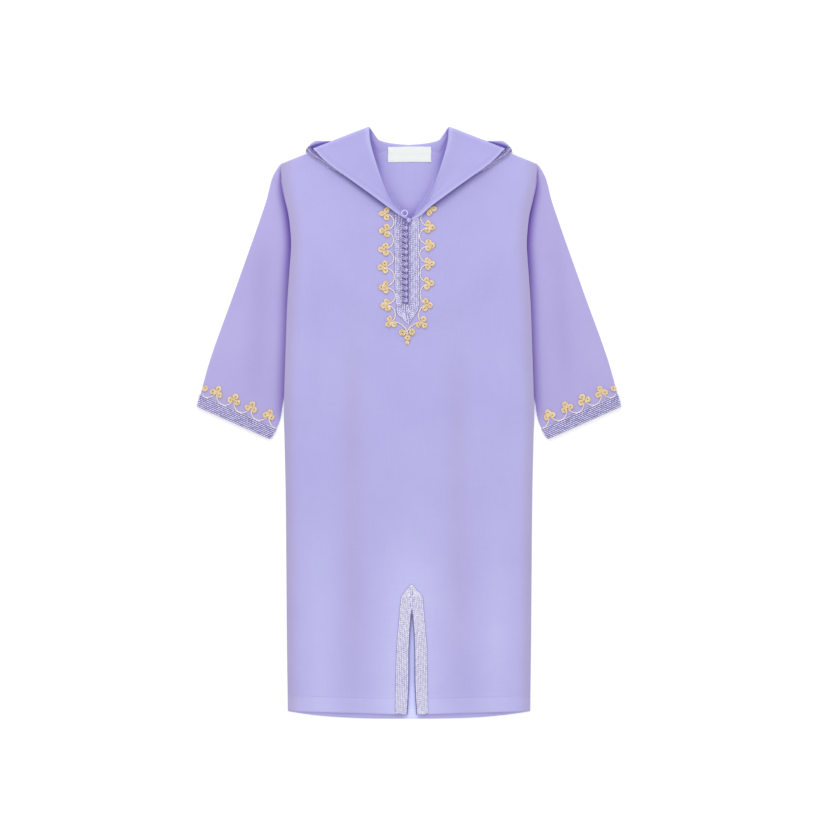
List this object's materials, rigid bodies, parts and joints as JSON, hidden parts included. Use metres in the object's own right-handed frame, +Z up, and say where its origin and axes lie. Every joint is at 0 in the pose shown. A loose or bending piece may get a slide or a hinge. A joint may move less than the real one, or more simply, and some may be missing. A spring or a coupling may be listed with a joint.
{
  "type": "child's hooded caftan",
  "caption": "Long straight hooded caftan with slim sleeves, braid at the placket, hem slit and cuffs, knot buttons and gold cord motifs, laid out flat face up.",
  "frame": {"origin": "under the middle of the garment laid flat, on the surface it lies on", "axes": "+Z up off the surface, +Y from the hem towards the hood, +X to the right seen from above"},
  "size_m": [0.5734, 0.799, 0.0149],
  "materials": {
    "cotton": "plain woven lilac cotton, matt",
    "braid": "rows of silvery lilac chain braid",
    "gold_cord": "twisted gold cord with a soft metallic sheen",
    "knot_cord": "knotted lilac silk cord",
    "label": "white woven satin, bare"
  },
  "bodies": {
    "root": {"back_panel": "cotton", "front_panel": "cotton", "sleeve_left": "cotton", "sleeve_right": "cotton", "hood_left": "cotton", "hood_right": "cotton", "hood_back": "cotton", "placket_braid": "braid", "slit_braid": "braid", "cuff_braid_left": "braid", "cuff_braid_right": "braid", "hood_braid_left": "braid", "hood_braid_right": "braid", "button_loops": "braid", "neck_embroidery": "gold_cord", "cuff_embroidery_left": "gold_cord", "cuff_embroidery_right": "gold_cord", "knot_buttons": "knot_cord", "label": "label"}
  },
  "joints": []
}
